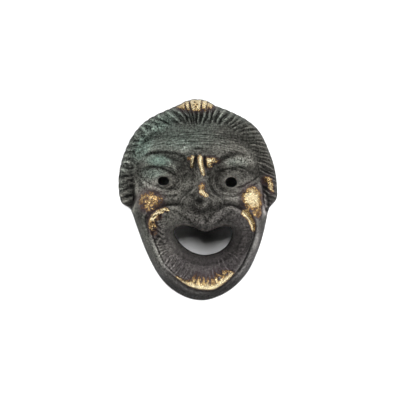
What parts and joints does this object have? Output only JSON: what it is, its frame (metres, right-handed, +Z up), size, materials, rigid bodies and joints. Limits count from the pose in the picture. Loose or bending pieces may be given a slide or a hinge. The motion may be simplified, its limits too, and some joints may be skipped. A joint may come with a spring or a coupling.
{
  "type": "bronze theatre mask",
  "caption": "Small cast bronze comic theatre mask, a hollow shell with a fringe of hair, frowning brows, pierced pupils and a wide open mouth in a trumpet-shaped beard.",
  "frame": {"origin": "centre of the mask's box, on the flat rim that it lies on", "axes": "+Z up out of the face, towards the viewer; +Y from the beard to the crown; +X to the viewer's right"},
  "size_m": [0.087, 0.11, 0.0315],
  "materials": {
    "bronze": "granular cast bronze with a dark grey-green patina, rubbed to bright gold on the crown, frown, nose, cheeks, moustache and tip of the beard"
  },
  "bodies": {
    "root": {"mask": "bronze"}
  },
  "joints": []
}
